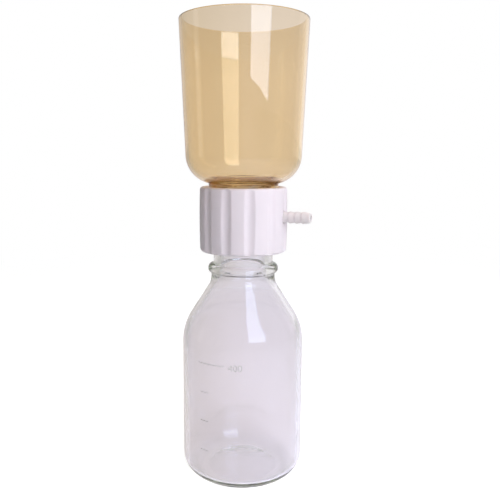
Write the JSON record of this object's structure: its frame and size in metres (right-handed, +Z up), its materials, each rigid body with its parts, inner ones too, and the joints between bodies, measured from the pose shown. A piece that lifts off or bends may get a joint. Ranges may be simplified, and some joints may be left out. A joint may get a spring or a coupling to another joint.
{
  "type": "vacuum filtration unit",
  "caption": "Bottle-top vacuum filtration unit: an amber cup screws into a fluted holder with a hose barb, on a glass screw-neck bottle.",
  "frame": {"origin": "on the bottle's axis, at the surface that the bottle stands on", "axes": "+Z up along the common axis of bottle, holder and funnel; +X along the hose barb, away from the axis"},
  "size_m": [0.0932, 0.088, 0.3186],
  "materials": {
    "bottle_glass": "clear borosilicate glass, fire polished",
    "holder_plastic": "white moulded polypropylene, satin gloss",
    "barb_plastic": "white moulded polypropylene, satin gloss",
    "funnel_plastic": "transparent amber polysulfone, glossy",
    "screen_plastic": "white moulded polypropylene, matt",
    "membrane_film": "matt white porous film",
    "seal_rubber": "translucent white silicone rubber"
  },
  "bodies": {
    "bottle": {"bottle": "bottle_glass"},
    "lower_seal": {"bottle_gasket": "seal_rubber"},
    "holder": {"filter_holder": "holder_plastic", "drain_insert": "holder_plastic", "hose_barb": "barb_plastic", "support_screen": "screen_plastic", "membrane": "membrane_film"},
    "upper_seal": {"funnel_gasket": "seal_rubber"},
    "funnel": {"funnel": "funnel_plastic"}
  },
  "joints": [
    {"name": "holder_lift", "type": "slide", "parent": "bottle", "child": "lower_seal", "axis": [0, 0, 1], "range_m": [0, 0.008]},
    {"name": "holder_turn", "type": "hinge", "parent": "lower_seal", "child": "holder", "pos_m": [0, 0, 0.176], "axis": [0, 0, 1], "range_deg": [0, 720]},
    {"name": "funnel_lift", "type": "slide", "parent": "holder", "child": "upper_seal", "axis": [0, 0, 1], "range_m": [0, 0.005]},
    {"name": "funnel_turn", "type": "hinge", "parent": "upper_seal", "child": "funnel", "pos_m": [0, 0, 0.2071], "axis": [0, 0, 1], "range_deg": [0, 450]}
  ],
  "couplings": [
    {"joint": "holder_lift", "follows": "holder_turn", "m_per_rad": 0.00063661},
    {"joint": "funnel_lift", "follows": "funnel_turn", "m_per_rad": 0.00063661}
  ]
}
